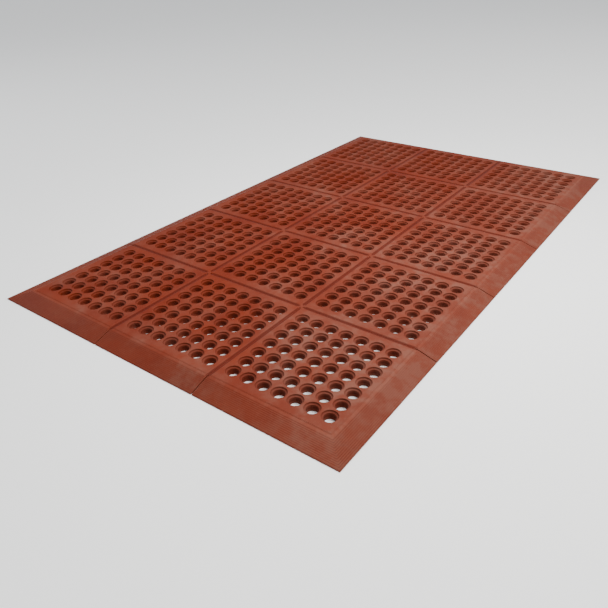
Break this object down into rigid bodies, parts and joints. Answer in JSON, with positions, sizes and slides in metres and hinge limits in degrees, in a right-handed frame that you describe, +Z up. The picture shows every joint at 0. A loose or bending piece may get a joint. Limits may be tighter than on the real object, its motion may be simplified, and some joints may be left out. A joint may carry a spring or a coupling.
{
  "type": "anti fatigue mat",
  "caption": "Flat modular rubber drainage mat: a grid of pierced tiles with sloping edge ramps, joined by flexible strips that let it fold up along its cross seams.",
  "frame": {"origin": "centre of the mat's underside, on the floor", "axes": "+Z up, +Y along the mat's long side from row 1 to row 5, +X across it from the left column to the right"},
  "size_m": [0.904, 1.523, 0.0159],
  "materials": {
    "tile_rubber": "terra-cotta red moulded rubber, fine matt grain",
    "strip_rubber": "darker red extruded rubber, matt",
    "plug_rubber": "terra-cotta red moulded rubber, matt"
  },
  "bodies": {
    "row_3": {"tile_r3_left": "tile_rubber", "tile_r3_middle": "tile_rubber", "tile_r3_right": "tile_rubber", "join_strip_left_middle_r3": "strip_rubber", "join_strip_middle_right_r3": "strip_rubber", "fold_strip_r2_r3_left": "strip_rubber", "fold_strip_r2_r3_middle": "strip_rubber", "fold_strip_r2_r3_right": "strip_rubber", "plug_left_middle_r2_r3": "plug_rubber", "plug_middle_right_r2_r3": "plug_rubber", "fold_strip_r3_r4_left": "strip_rubber", "fold_strip_r3_r4_middle": "strip_rubber", "fold_strip_r3_r4_right": "strip_rubber", "plug_left_middle_r3_r4": "plug_rubber", "plug_middle_right_r3_r4": "plug_rubber"},
    "row_2": {"tile_r2_left": "tile_rubber", "tile_r2_middle": "tile_rubber", "tile_r2_right": "tile_rubber", "join_strip_left_middle_r2": "strip_rubber", "join_strip_middle_right_r2": "strip_rubber", "fold_strip_r1_r2_left": "strip_rubber", "fold_strip_r1_r2_middle": "strip_rubber", "fold_strip_r1_r2_right": "strip_rubber", "plug_left_middle_r1_r2": "plug_rubber", "plug_middle_right_r1_r2": "plug_rubber"},
    "row_1": {"tile_r1_left": "tile_rubber", "tile_r1_middle": "tile_rubber", "tile_r1_right": "tile_rubber", "join_strip_left_middle_r1": "strip_rubber", "join_strip_middle_right_r1": "strip_rubber"},
    "row_4": {"tile_r4_left": "tile_rubber", "tile_r4_middle": "tile_rubber", "tile_r4_right": "tile_rubber", "join_strip_left_middle_r4": "strip_rubber", "join_strip_middle_right_r4": "strip_rubber", "fold_strip_r4_r5_left": "strip_rubber", "fold_strip_r4_r5_middle": "strip_rubber", "fold_strip_r4_r5_right": "strip_rubber", "plug_left_middle_r4_r5": "plug_rubber", "plug_middle_right_r4_r5": "plug_rubber"},
    "row_5": {"tile_r5_left": "tile_rubber", "tile_r5_middle": "tile_rubber", "tile_r5_right": "tile_rubber", "join_strip_left_middle_r5": "strip_rubber", "join_strip_middle_right_r5": "strip_rubber"}
  },
  "joints": [
    {"name": "fold_r2_r3", "type": "hinge", "parent": "row_3", "child": "row_2", "pos_m": [0, -0.1435, 0.0127], "axis": [-1, 0, 0], "range_deg": [0, 60], "deforming": ["fold_strip_r2_r3_left", "fold_strip_r2_r3_middle", "fold_strip_r2_r3_right", "plug_left_middle_r2_r3", "plug_middle_right_r2_r3"]},
    {"name": "fold_r1_r2", "type": "hinge", "parent": "row_2", "child": "row_1", "pos_m": [0, -0.4305, 0.0127], "axis": [-1, 0, 0], "range_deg": [0, 60], "deforming": ["fold_strip_r1_r2_left", "fold_strip_r1_r2_middle", "fold_strip_r1_r2_right", "plug_left_middle_r1_r2", "plug_middle_right_r1_r2"]},
    {"name": "fold_r3_r4", "type": "hinge", "parent": "row_3", "child": "row_4", "pos_m": [0, 0.1435, 0.0127], "axis": [1, 0, 0], "range_deg": [0, 60], "deforming": ["fold_strip_r3_r4_left", "fold_strip_r3_r4_middle", "fold_strip_r3_r4_right", "plug_left_middle_r3_r4", "plug_middle_right_r3_r4"]},
    {"name": "fold_r4_r5", "type": "hinge", "parent": "row_4", "child": "row_5", "pos_m": [0, 0.4305, 0.0127], "axis": [1, 0, 0], "range_deg": [0, 60], "deforming": ["fold_strip_r4_r5_left", "fold_strip_r4_r5_middle", "fold_strip_r4_r5_right", "plug_left_middle_r4_r5", "plug_middle_right_r4_r5"]}
  ]
}
